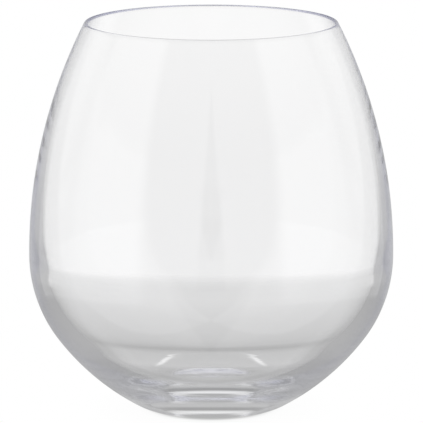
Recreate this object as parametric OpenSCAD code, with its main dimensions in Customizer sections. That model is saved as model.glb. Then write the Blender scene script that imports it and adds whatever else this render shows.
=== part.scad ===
/* [Overall size] */
// Height of the glass from the table to the top of its lip
glass_h = 105; // [88:1:125]
// Widest outside diameter, across the belly
belly_d = 98; // [83:1:116]
// Outside diameter of the mouth, over the rounded lip
mouth_d = 68; // [56:1:81]
// Height above the table at which the outside is widest
belly_level_h = 42; // [35:1:50]

/* [Glass thickness] */
// Thickness of the wall at the lip
lip_t = 0.95; // [0.8:0.05:2]
// Thickness of the wall at the level where the outside is widest
belly_t = 3.3; // [2.4:0.1:5]
// Height of the inside bottom above the table
bottom_t = 4.25; // [3:0.25:8]

/* [Outside curve] */
// Angle in degrees that the round under the belly turns through
belly_turn = 36.6; // [30:0.2:44]
// Slope in degrees at which the heel round begins
heel_turn = 60.4; // [50:0.2:72]
// Radius of the heel round between the side and the table
heel_r = 14.5; // [8:0.5:18]

/* [Inside curve] */
// Rise of the inside's widest level above the outside's
inside_rise = 7; // [4:0.5:9]
// Radius of the long inside curve just below its widest level
waist_r = 70; // [55:1:85]
// Angle in degrees that the long inside curve turns through
waist_turn = 8.8; // [6:0.2:11]
// Slope in degrees at which the round dish of the bottom begins
dish_turn = 35.9; // [29:0.1:43]

/* [Underside] */
// Outside diameter of the flat ring that the glass stands on
stand_d = 28; // [20:0.5:34]
// Width of the flat ring
ring_w = 1.5; // [1:0.1:3]
// Depth of the shallow hollow inside the ring, at its middle
hollow_h = 1; // [0.5:0.1:2]

/* [Hidden] */

// Furthest that a facet of the outline may lie from the true curve
curve_error = 0.01;
// Facets of the glass round its axis, where it is drawn as a mesh
round_facets = 180;
// Colour of the clear glass, with its opacity
glass_colour = [0.86, 0.89, 0.91, 0.35];

// The lip is a full round, as thick as the wall below it
lip_r = lip_t / 2;
lip_centre = [mouth_d / 2 - lip_r, glass_h - lip_r];
belly_r = belly_d / 2;
stand_r = stand_d / 2;
inside_r = belly_r - belly_t;
inside_level_h = belly_level_h + inside_rise;

// Radii of two arcs that join smoothly and end where a curve has to end. The first turns from
// slope a to slope b, the second from b to c, and both together run inwards and drop downwards
function joined_radii(a, b, c, run, drop) =
    let (
        run_1 = cos(a) - cos(b),
        run_2 = cos(b) - cos(c),
        drop_1 = sin(b) - sin(a),
        drop_2 = sin(c) - sin(b),
        whole = run_1 * drop_2 - run_2 * drop_1
    )
    [(run * drop_2 - drop * run_2) / whole, (drop * run_1 - run * drop_1) / whole];

// Radius of the arc that leaves a widest point straight upwards and runs smoothly into the lip.
// The lip's round is touched from outside by the inner wall, so there it counts as negative
function rise_radius(widest, round_r) =
    let (run = widest[0] - lip_centre[0], rise = lip_centre[1] - widest[1])
    (run * run + rise * rise - round_r * round_r) / (2 * (run - round_r));

// Slope of the line from an arc's centre to the lip, which is where that arc ends
function lip_slope(centre) = atan2(lip_centre[1] - centre[1], lip_centre[0] - centre[0]);

// Outside: an arc up to the lip, the round under the belly, the long flank and the heel round
belly_point = [belly_r, belly_level_h];
side_r = rise_radius(belly_point, lip_r);
under_radii = joined_radii(0, belly_turn, heel_turn,
    belly_r - stand_r - heel_r * cos(heel_turn),
    belly_level_h - heel_r * (1 - sin(heel_turn)));
under_r = under_radii[0];
flank_r = under_radii[1];
side_centre = belly_point - [side_r, 0];
under_centre = belly_point - [under_r, 0];
flank_centre = under_centre + (under_r - flank_r) * spoke(-belly_turn);
heel_centre = [stand_r, heel_r];

// Inside: an arc down from the lip, the long waist, the shoulder and the round dish
inside_point = [inside_r, inside_level_h];
throat_r = rise_radius(inside_point, -lip_r);
bowl_radii = joined_radii(waist_turn, dish_turn, 90,
    inside_r - waist_r * (1 - cos(waist_turn)),
    inside_level_h - bottom_t - waist_r * sin(waist_turn));
shoulder_r = bowl_radii[0];
dish_r = bowl_radii[1];
throat_centre = inside_point - [throat_r, 0];
waist_centre = inside_point - [waist_r, 0];
shoulder_centre = waist_centre + (waist_r - shoulder_r) * spoke(-waist_turn);
dish_centre = [0, bottom_t + dish_r];

// Underside: part of a large ball hollows the middle, inside the flat ring
hollow_edge_r = stand_r - ring_w;
hollow_r = (hollow_edge_r * hollow_edge_r + hollow_h * hollow_h) / (2 * hollow_h);
hollow_centre = [0, hollow_h - hollow_r];
hollow_slope = atan2(-hollow_centre[1], hollow_edge_r);

// Unit vector at a slope above the level
function spoke(slope) = [cos(slope), sin(slope)];

// Points of an arc from one slope to another, without the first, on which the last curve ended
function arc(centre, r, from, to) =
    let (facets = ceil(abs(to - from) / (2 * acos(1 - curve_error / r))))
    [for (i = [1 : facets]) centre + r * spoke(from + (to - from) * i / facets)];

// The underside, from the middle of the hollow out to where the heel round starts
function underside_line() = concat(
    [[0, hollow_h]],
    arc(hollow_centre, hollow_r, 90, hollow_slope),
    [[stand_r, 0]]
);

// The outside, from the heel up to the lip
function outside_line() = concat(
    arc(heel_centre, heel_r, -90, -heel_turn),
    arc(flank_centre, flank_r, -heel_turn, -belly_turn),
    arc(under_centre, under_r, -belly_turn, 0),
    arc(side_centre, side_r, 0, lip_slope(side_centre))
);

// The fire-polished lip, over the top from the outside to the inside
function lip_line() = arc(lip_centre, lip_r, lip_slope(side_centre), 180 + lip_slope(throat_centre));

// The inside, from the lip down to the middle of the bottom
function inside_line() = concat(
    arc(throat_centre, throat_r, lip_slope(throat_centre), 0),
    arc(waist_centre, waist_r, 0, -waist_turn),
    arc(shoulder_centre, shoulder_r, -waist_turn, -dish_turn),
    arc(dish_centre, dish_r, -dish_turn, -90)
);

// The whole glass: one wall outline turned round the axis
module glass_body() {
    color(glass_colour)
    rotate_extrude($fn = round_facets)
    polygon(concat(underside_line(), outside_line(), lip_line(), inside_line()));
}

glass_body();
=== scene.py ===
import math

import bmesh
import bpy
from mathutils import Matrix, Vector


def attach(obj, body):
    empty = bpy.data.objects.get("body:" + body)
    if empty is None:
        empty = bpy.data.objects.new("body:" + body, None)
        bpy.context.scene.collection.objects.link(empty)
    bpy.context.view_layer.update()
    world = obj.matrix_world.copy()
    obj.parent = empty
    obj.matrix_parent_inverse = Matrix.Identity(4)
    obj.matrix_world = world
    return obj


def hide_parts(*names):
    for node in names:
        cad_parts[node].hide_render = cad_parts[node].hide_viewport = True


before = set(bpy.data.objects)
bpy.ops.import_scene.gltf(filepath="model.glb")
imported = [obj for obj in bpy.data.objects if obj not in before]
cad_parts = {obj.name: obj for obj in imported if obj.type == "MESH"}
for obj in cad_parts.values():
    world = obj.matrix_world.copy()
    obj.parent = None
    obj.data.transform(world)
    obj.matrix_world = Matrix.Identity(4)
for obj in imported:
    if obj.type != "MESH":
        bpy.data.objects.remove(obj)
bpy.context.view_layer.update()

# Glass body: the whole glass is this one piece, a wide bowl that narrows to its mouth and stands
# on its own thick, rounded bottom. It is clear soda-lime glass, blown in a spinning mould, cut
# off at the lip and fire-polished there, so only faint rings and waves are left in its wall.
MM = 0.001
GLASS_H = 105 * MM
BELLY_R = 49 * MM
MOUTH_R = 34 * MM
BELLY_LEVEL_H = 42 * MM
LIP_R = 0.475 * MM
BELLY_T = 3.3 * MM
BOTTOM_T = 4.25 * MM
BELLY_TURN = 36.6
HEEL_TURN = 60.4
HEEL_R = 14.5 * MM
INSIDE_RISE = 7 * MM
WAIST_R = 70 * MM
WAIST_TURN = 8.8
DISH_TURN = 35.9
STAND_R = 14 * MM
RING_W = 1.5 * MM
HOLLOW_H = 1 * MM
# The mesh: the longest facet of the outline, the most that one may turn, and the facets round
FACET_L = 0.8 * MM
FACET_TURN = 7.5
ROUND_FACETS = 320


def spoke(slope):
    """Unit vector at a slope in degrees above the level, in the plane of the outline"""
    return Vector((math.cos(math.radians(slope)), math.sin(math.radians(slope))))


def arc(centre, radius, start, end):
    """Points of an arc between two slopes, without the first, on which the last curve ended"""
    turn = abs(end - start)
    facets = math.ceil(max(math.radians(turn) * radius / FACET_L, turn / FACET_TURN))
    return [centre + radius * spoke(start + (end - start) * i / facets) for i in range(1, facets + 1)]


def joined_radii(start, joint, end, run, drop):
    """Radii of two arcs that join smoothly at slope joint and together run in and drop so far"""
    first, second = spoke(start) - spoke(joint), spoke(joint) - spoke(end)
    whole = first.x * second.y - second.x * first.y
    return (run * second.y - drop * second.x) / whole, (drop * first.x - run * first.y) / whole


lip_centre = Vector((MOUTH_R - LIP_R, GLASS_H - LIP_R))


def rise_radius(widest, round_r):
    """Radius of the arc that leaves a widest point upwards and runs smoothly into the lip"""
    reach = widest - lip_centre
    return (reach.length_squared - round_r ** 2) / (2 * (reach.x - round_r))


def lip_slope(centre):
    """Slope of the line from an arc's centre to the lip, which is where that arc ends"""
    reach = lip_centre - centre
    return math.degrees(math.atan2(reach.y, reach.x))


# Outside: the side above the belly, the round under it, the long flank and the heel
belly_point = Vector((BELLY_R, BELLY_LEVEL_H))
side_r = rise_radius(belly_point, LIP_R)
under_r, flank_r = joined_radii(
    0, -BELLY_TURN, -HEEL_TURN,
    BELLY_R - STAND_R - HEEL_R * spoke(-HEEL_TURN).x,
    BELLY_LEVEL_H - HEEL_R - HEEL_R * spoke(-HEEL_TURN).y,
)
side_centre = belly_point - side_r * spoke(0)
under_centre = belly_point - under_r * spoke(0)
flank_centre = under_centre + (under_r - flank_r) * spoke(-BELLY_TURN)
heel_centre = Vector((STAND_R, HEEL_R))

# Inside: the throat below the lip, the long waist, the shoulder and the round dish
inside_point = belly_point + Vector((-BELLY_T, INSIDE_RISE))
throat_r = rise_radius(inside_point, -LIP_R)
waist_end = inside_point + WAIST_R * (spoke(-WAIST_TURN) - spoke(0))
shoulder_r, dish_r = joined_radii(
    -WAIST_TURN, -DISH_TURN, -90, waist_end.x, waist_end.y - BOTTOM_T,
)
throat_centre = inside_point - throat_r * spoke(0)
waist_centre = inside_point - WAIST_R * spoke(0)
shoulder_centre = waist_centre + (WAIST_R - shoulder_r) * spoke(-WAIST_TURN)
dish_centre = Vector((0, BOTTOM_T + dish_r))

# Underside: a shallow hollow inside the flat ring that the glass stands on
hollow_edge_r = STAND_R - RING_W
hollow_r = (hollow_edge_r ** 2 + HOLLOW_H ** 2) / (2 * HOLLOW_H)
hollow_centre = Vector((0, HOLLOW_H - hollow_r))
hollow_slope = math.degrees(math.atan2(-hollow_centre.y, hollow_edge_r))

outline = [
    Vector((0, HOLLOW_H)),
    *arc(hollow_centre, hollow_r, 90, hollow_slope),
    Vector((STAND_R, 0)),
    *arc(heel_centre, HEEL_R, -90, -HEEL_TURN),
    *arc(flank_centre, flank_r, -HEEL_TURN, -BELLY_TURN),
    *arc(under_centre, under_r, -BELLY_TURN, 0),
    *arc(side_centre, side_r, 0, lip_slope(side_centre)),
    *arc(lip_centre, LIP_R, lip_slope(side_centre), 180 + lip_slope(throat_centre)),
    *arc(throat_centre, throat_r, lip_slope(throat_centre), 0),
    *arc(waist_centre, WAIST_R, 0, -WAIST_TURN),
    *arc(shoulder_centre, shoulder_r, -WAIST_TURN, -DISH_TURN),
    *arc(dish_centre, dish_r, -DISH_TURN, -90),
]

wall = bmesh.new()
spokes = [spoke(360 * i / ROUND_FACETS) for i in range(ROUND_FACETS)]
rings = [
    [wall.verts.new((point.x * way.x, point.x * way.y, point.y)) for way in spokes]
    for point in outline[1:-1]
]
bottom, top = (wall.verts.new((0, 0, point.y)) for point in (outline[0], outline[-1]))
for i in range(ROUND_FACETS):
    for lower, upper in zip(rings, rings[1:]):
        wall.faces.new((lower[i - 1], lower[i], upper[i], upper[i - 1]))
    wall.faces.new((bottom, rings[0][i], rings[0][i - 1]))
    wall.faces.new((top, rings[-1][i - 1], rings[-1][i]))
for face in wall.faces:
    face.smooth = True
glass_mesh = bpy.data.meshes.new("glass_body")
wall.to_mesh(glass_mesh)
wall.free()
glass = bpy.data.objects.new("glass", glass_mesh)
bpy.context.scene.collection.objects.link(glass)


def node(tree, kind, **sockets):
    """A new node of that kind, with its sockets set to values or joined to other sockets"""
    made = tree.nodes.new("ShaderNode" + kind)
    for name, value in sockets.items():
        socket = made.inputs[name.replace("_", " ")]
        if isinstance(value, bpy.types.NodeSocket):
            tree.links.new(value, socket)
        else:
            socket.default_value = value
    return made


def worked_out(tree, kind, operation, *values):
    """The result of a Math or VectorMath node on numbers, vectors or sockets"""
    made = tree.nodes.new("ShaderNode" + kind)
    made.operation = operation
    for socket, value in zip(made.inputs, values):
        if isinstance(value, bpy.types.NodeSocket):
            tree.links.new(value, socket)
        else:
            socket.default_value = value
    return made.outputs["Value" if operation == "LENGTH" else 0]


def step(tree, value, start, end, low=0.0, high=1.0):
    """A value that goes softly from low to high as the given one goes from start to end"""
    made = node(tree, "MapRange", Value=value)
    made.interpolation_type = "SMOOTHSTEP"
    made.inputs["From Min"].default_value = start
    made.inputs["From Max"].default_value = end
    made.inputs["To Min"].default_value = low
    made.inputs["To Max"].default_value = high
    return made.outputs[0]


# Clear glass with a trace of blue-grey in its depth. The spinning mould leaves faint rings round
# the wall, deeper ones in the heel, where the glass was softest, and long slow waves.
GLASS_IOR = 1.51
DEPTH_COLOUR = (0.86, 0.865, 0.93, 1)
DEPTH_DENSITY = 8
LEVEL_PART = (1, 1, 0)
RING_L = 2.2 * MM
HEIGHT_SHARE = 2
RING_DETAIL = 2
RING_DEPTH = 0.004 * MM
HEEL_RING_DEPTH = 0.05 * MM
HEEL_RINGS_H = (3 * MM, 4.2 * MM)
WAVE_L = 24 * MM
WAVE_DETAIL = 1
WAVE_DEPTH = 0.05 * MM
HAZE = (0.62, 0.80)
HAZE_ROUGHNESS = 0.03
clear_glass = bpy.data.materials.new("clear_glass")
clear_glass.use_nodes = True
glass_tree = clear_glass.node_tree
surface = glass_tree.nodes["Principled BSDF"]
surface.inputs["Base Color"].default_value = (1, 1, 1, 1)
surface.inputs["Transmission Weight"].default_value = 1
surface.inputs["IOR"].default_value = GLASS_IOR
spot = node(glass_tree, "TexCoord").outputs["Object"]
height = node(glass_tree, "SeparateXYZ", Vector=spot).outputs["Z"]
flat_spot = worked_out(glass_tree, "VectorMath", "MULTIPLY", spot, LEVEL_PART)
from_axis = worked_out(glass_tree, "VectorMath", "LENGTH", flat_spot)
outward = worked_out(glass_tree, "VectorMath", "NORMALIZE", flat_spot)
# A ring keeps its height and its distance from the axis, so the rings follow a length that grows
# with both, and change only slowly on their way round
along = worked_out(glass_tree, "Math", "MULTIPLY_ADD", height, HEIGHT_SHARE, from_axis)
ring_count = worked_out(glass_tree, "Math", "DIVIDE", along, RING_L)
ring_lift = node(glass_tree, "CombineXYZ", Z=ring_count).outputs[0]
ring_spot = worked_out(glass_tree, "VectorMath", "ADD", outward, ring_lift)
rings_height = node(glass_tree, "TexNoise", Vector=ring_spot, Scale=1, Detail=RING_DETAIL).outputs[0]
ring_depth = step(glass_tree, height, *HEEL_RINGS_H, HEEL_RING_DEPTH, RING_DEPTH)
waves_height = node(glass_tree, "TexNoise", Vector=spot, Scale=1 / WAVE_L, Detail=WAVE_DETAIL).outputs[0]
rings_relief = worked_out(glass_tree, "Math", "MULTIPLY", rings_height, ring_depth)
relief = worked_out(glass_tree, "Math", "MULTIPLY_ADD", waves_height, WAVE_DEPTH, rings_relief)
bump = node(glass_tree, "Bump", Height=relief, Distance=1)
glass_tree.links.new(bump.outputs[0], surface.inputs["Normal"])
haze = step(glass_tree, rings_height, *HAZE, 0, HAZE_ROUGHNESS)
glass_tree.links.new(haze, surface.inputs["Roughness"])
depth = node(glass_tree, "VolumeAbsorption", Color=DEPTH_COLOUR, Density=DEPTH_DENSITY)
glass_tree.links.new(depth.outputs[0], glass_tree.nodes["Material Output"].inputs["Volume"])
glass_mesh.materials.append(clear_glass)
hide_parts("glass_body")
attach(glass, "root")

# Floor: a plain pale table top. Seen directly it is white, but for a painted shadow, a dark line where
# the glass stands. Through the glass it also shows painted light and shade: a soft shadow round its
# foot, two arcs of light from the side panels and, where the thick bottom mirrors it, narrow rings of
# gathered light.
FLOOR_R = 130 * MM
FLOOR_FACETS = 180
FLOOR_GAP = 0.2 * MM
FLOOR_EDGE = (110, 128)
# Painted shades by the distance in millimetres from the middle of the glass, as the soft edge above is
# Painted contact shadow where the glass stands, seen directly
PAINTED_CONTACT_SHADOW_SHADES = ((14, 0.45), (15.6, 0.60), (16.6, 0.85), (17.8, 0.96), (20, 0.985), (34, 1.0))
# Painted shadow round the foot, seen through the glass
PAINTED_SHADOW_SHADES = (
    (0, 0.50), (10, 0.48), (14, 0.56), (18, 0.66), (22, 0.62), (25, 0.58), (28, 0.46), (30, 0.45),
    (32, 0.53), (35, 0.58), (40, 0.62), (50, 0.66), (80, 0.73), (100, 0.78), (112, 0.82),
)
# Painted rings of gathered light, seen where the thick bottom mirrors the floor
PAINTED_RING_LIGHT_SHADES = (
    (0, 0.42), (7.5, 0.42), (9.5, 0.95), (11.5, 0.75), (12.5, 0.33), (14, 0.33), (15.5, 0.55),
    (19, 0.52), (23, 0.55), (28, 0.38), (36, 0.40), (45, 0.45), (100, 0.42),
)
# The painted shadow is longer from left to right, towards the panels, than from front to back
PAINTED_SHADOW_LENGTH = (0.6, 1, 0)
# The painted arcs of light: their distance straight behind the glass, what it loses for each degree
# of turn from there, half their width, and the middle and half of the turn that they take in
ARC_R = 28.5
ARC_CLOSING = 0.125
ARC_HALF_W = 1.2
ARC_TURN = 39
ARC_HALF_TURN = 21
# How much painted light the arcs add to the floor's glow
PAINTED_ARC_LIGHT = 0.4


def blend_to(tree, share, first, second):
    """A number that goes from the first to the second as the share goes from 0 to 1"""
    return node(tree, "Mix", Factor=share, A=first, B=second).outputs[0]


def shades_along(tree, value, stops):
    """A shade that runs through the given stops, each a value and the shade there"""
    start, end = stops[0][0], stops[-1][0]
    share = node(tree, "MapRange", Value=value, From_Min=start, From_Max=end).outputs[0]
    ramp_node = node(tree, "ValToRGB", Fac=share)
    ramp = ramp_node.color_ramp
    for at, _ in stops[1:-1]:
        ramp.elements.new((at - start) / (end - start))
    for element, (_, shade) in zip(ramp.elements, stops):
        element.color = (shade, shade, shade, 1)
    return ramp_node.outputs["Color"]


def turn_from_back(tree, direction):
    """Angle in degrees between straight behind the glass and the level part of a direction"""
    parts = node(tree, "SeparateXYZ", Vector=direction).outputs
    turned = worked_out(tree, "Math", "ARCTAN2", parts["X"], parts["Y"])
    return worked_out(tree, "Math", "DEGREES", worked_out(tree, "Math", "ABSOLUTE", turned))


def close_to(tree, value, middle, half):
    """A share that is 1 at the middle value and goes softly to 0 at half a width from it"""
    off = worked_out(tree, "Math", "SUBTRACT", value, middle)
    return step(tree, worked_out(tree, "Math", "ABSOLUTE", off), half, 0)


def above(tree, value, limit):
    """1 where the value is above the limit, and otherwise 0"""
    return worked_out(tree, "Math", "GREATER_THAN", value, limit)


disc = bmesh.new()
bmesh.ops.create_circle(disc, cap_ends=True, radius=FLOOR_R, segments=FLOOR_FACETS)
bmesh.ops.translate(disc, verts=disc.verts, vec=(0, 0, -FLOOR_GAP))
floor_mesh = bpy.data.meshes.new("floor")
disc.to_mesh(floor_mesh)
disc.free()
floor = bpy.data.objects.new("floor", floor_mesh)
bpy.context.scene.collection.objects.link(floor)
table_top = bpy.data.materials.new("table_top")
table_top.use_nodes = True
table_top.cycles.emission_sampling = "NONE"
floor_tree = table_top.node_tree
floor_tree.nodes.clear()
place = node(floor_tree, "TexCoord").outputs["Object"]
place_mm = worked_out(floor_tree, "VectorMath", "DIVIDE", place, (MM, MM, MM))
flat_place = worked_out(floor_tree, "VectorMath", "MULTIPLY", place_mm, LEVEL_PART)
reach = worked_out(floor_tree, "VectorMath", "LENGTH", flat_place)
# Painted shadow round the foot, seen through the glass
shadow_place = worked_out(floor_tree, "VectorMath", "MULTIPLY", place_mm, PAINTED_SHADOW_LENGTH)
shadow_reach = worked_out(floor_tree, "VectorMath", "LENGTH", shadow_place)
painted_shadow = shades_along(floor_tree, shadow_reach, PAINTED_SHADOW_SHADES)
# Two arcs of painted light behind the foot stand for the side panels' light gathered by the glass;
# they close in on it sidewards
arc_turn = turn_from_back(floor_tree, place)
arc_reach = worked_out(floor_tree, "Math", "MULTIPLY_ADD", arc_turn, ARC_CLOSING, reach)
arc_ring = close_to(floor_tree, arc_reach, ARC_R, ARC_HALF_W)
arc_side = close_to(floor_tree, arc_turn, ARC_TURN, ARC_HALF_TURN)
arcs = worked_out(floor_tree, "Math", "MULTIPLY", arc_ring, arc_side)
# The painted shadow with the painted arcs of light added
through = worked_out(floor_tree, "Math", "MULTIPLY_ADD", arcs, PAINTED_ARC_LIGHT, painted_shadow)
# Painted light: narrow rings of gathered light, seen where the thick bottom mirrors the floor
painted_ring_light = shades_along(floor_tree, reach, PAINTED_RING_LIGHT_SHADES)
# Glossy Depth counts how often the light has been turned back inside the glass
floor_rays = node(floor_tree, "LightPath").outputs
painted_through_glass = blend_to(floor_tree, above(floor_tree, floor_rays["Glossy Depth"], 0), through, painted_ring_light)
# Painted shadow: seen directly, the white glow is darkened in a thin ring at the foot
painted_contact_shadow = shades_along(floor_tree, reach, PAINTED_CONTACT_SHADOW_SHADES)
floor_glow_with_painted_shade = blend_to(floor_tree, floor_rays["Is Camera Ray"], painted_through_glass, painted_contact_shadow)
glow = node(floor_tree, "Emission", Strength=floor_glow_with_painted_shade)
clear = node(floor_tree, "BsdfTransparent")
# The table ends in a soft edge, and doesn't hide the glass from below
past_edge = step(floor_tree, reach, *FLOOR_EDGE)
underneath = node(floor_tree, "NewGeometry").outputs["Backfacing"]
unseen = worked_out(floor_tree, "Math", "MAXIMUM", past_edge, underneath)
table_shader = node(floor_tree, "MixShader", Fac=unseen)
floor_tree.links.new(glow.outputs[0], table_shader.inputs[1])
floor_tree.links.new(clear.outputs[0], table_shader.inputs[2])
node(floor_tree, "OutputMaterial", Surface=table_shader.outputs[0])
floor_mesh.materials.append(table_top)

# Room: soft studio light all round. Straight through the glass stands a white backdrop. Turned back
# once, the light shows two tall soft panels, left and right, and a narrow dark gap behind the
# camera. Turned back more often, it shows a plainer and dimmer room with a bright patch overhead.
BACKDROP_RISE = (-12.5, -9)
BACKDROP_SHADES = (0.95, 1.0)
# Shades by the turn in degrees from straight behind the glass, or by the rise above the level
PANEL_SHADES = ((42, 0.92), (78, 0.80), (84, 1.0), (130, 1.0), (138, 0.4), (180, 0.4))
BEHIND_SHADES = ((-30, 0.80), (-20, 0.48), (-10, 0.60), (0, 0.76), (10, 0.80), (20, 0.50), (35, 0.30))
BEHIND_TURN = (38, 42)
DEEP_SHADES = (
    (-20, 0.66), (-5, 0.74), (4, 0.49), (10, 0.49), (16, 0.38), (22, 0.43), (28, 0.65), (34, 0.50),
    (42, 0.50),
)
HIGH_SHADES = ((0, 0.60), (36, 0.42), (72, 0.36), (108, 0.40), (144, 0.54), (180, 0.9))
HIGH_RISE = (36, 46)
OVERHEAD_RISE = (62, 76)
OVERHEAD_SHADE = 0.9
LIP_TURNS = 26
LIP_RISE = (20, 40)
LIP_SHADE = 0.8
HALF_TURN = 180
GAP_SHADE = 0
GAP_TOP = 33
GAP_FOOT = (-15, -12)
GAP_SLOPE = 0.2
GAP_EDGE = 0.4
room = bpy.data.worlds.new("room")
room.use_nodes = True
room.cycles.sampling_method = "NONE"
bpy.context.scene.world = room
room_tree = room.node_tree
direction = node(room_tree, "TexCoord").outputs["Generated"]
turn = turn_from_back(room_tree, direction)
upward = node(room_tree, "SeparateXYZ", Vector=direction).outputs["Z"]
rise = worked_out(room_tree, "Math", "DEGREES", worked_out(room_tree, "Math", "ARCSINE", upward))
backdrop = step(room_tree, rise, *BACKDROP_RISE, *BACKDROP_SHADES)
panels = shades_along(room_tree, turn, PANEL_SHADES)
behind = shades_along(room_tree, rise, BEHIND_SHADES)
mirrored = blend_to(room_tree, step(room_tree, turn, *BEHIND_TURN), behind, panels)
# The gap narrows upwards, to nothing at its top
from_gap = worked_out(room_tree, "Math", "SUBTRACT", HALF_TURN, turn)
below_top = worked_out(room_tree, "Math", "SUBTRACT", GAP_TOP, rise)
gap_half = worked_out(room_tree, "Math", "MULTIPLY", below_top, GAP_SLOPE)
from_edge = worked_out(room_tree, "Math", "SUBTRACT", gap_half, from_gap)
across_gap = step(room_tree, from_edge, -GAP_EDGE, GAP_EDGE)
in_gap = worked_out(room_tree, "Math", "MULTIPLY", across_gap, step(room_tree, rise, *GAP_FOOT))
mirrored = blend_to(room_tree, in_gap, mirrored, GAP_SHADE)
deep = shades_along(room_tree, rise, DEEP_SHADES)
high = shades_along(room_tree, turn, HIGH_SHADES)
deep = blend_to(room_tree, step(room_tree, rise, *HIGH_RISE), deep, high)
deep = blend_to(room_tree, step(room_tree, rise, *OVERHEAD_RISE), deep, OVERHEAD_SHADE)
room_rays = node(room_tree, "LightPath").outputs
turned_back = room_rays["Glossy Depth"]
# Light that has crept a long way round in the lip leaves it upwards
crept = above(room_tree, turned_back, LIP_TURNS)
from_lip = worked_out(room_tree, "Math", "MULTIPLY", crept, step(room_tree, rise, *LIP_RISE))
deep = blend_to(room_tree, from_lip, deep, LIP_SHADE)
room_light = blend_to(room_tree, above(room_tree, turned_back, 0), backdrop, mirrored)
room_light = blend_to(room_tree, above(room_tree, turned_back, 1), room_light, deep)
room_light = blend_to(room_tree, room_rays["Is Camera Ray"], room_light, 1)
background = room_tree.nodes["Background"]
background.inputs["Color"].default_value = (1, 1, 1, 1)
room_tree.links.new(room_light, background.inputs["Strength"])

# Camera: a long lens, as products are photographed with, at the height and distance from which the
# mouth looks as it does. The frame's width, the focal length and the shift are in pixels.
CAMERA_AWAY = 1213.1 * MM
CAMERA_H = 276.9 * MM
CAMERA_TILT = 10.434
FRAME_W = 423
SENSOR_W = 36
FOCUS_W = 4586.6
SHIFT_W = 0.3
FAR_END = 100
LEVEL_TURN = 90
camera_data = bpy.data.cameras.new("camera")
camera_data.lens = FOCUS_W * SENSOR_W / FRAME_W
camera_data.sensor_width = SENSOR_W
camera_data.shift_x = SHIFT_W / FRAME_W
camera_data.clip_end = FAR_END
camera = bpy.data.objects.new("camera", camera_data)
camera.location = (0, -CAMERA_AWAY, CAMERA_H)
camera.rotation_euler = (math.radians(LEVEL_TURN - CAMERA_TILT), 0, 0)
bpy.context.scene.collection.objects.link(camera)
bpy.context.scene.camera = camera
bpy.context.scene.view_settings.view_transform = "Standard"
# Light turns back many times inside the wall and the thick bottom before it comes out
INSIDE_TURNS = 200
bpy.context.scene.cycles.max_bounces = INSIDE_TURNS
bpy.context.scene.cycles.glossy_bounces = INSIDE_TURNS
bpy.context.scene.cycles.transmission_bounces = INSIDE_TURNS
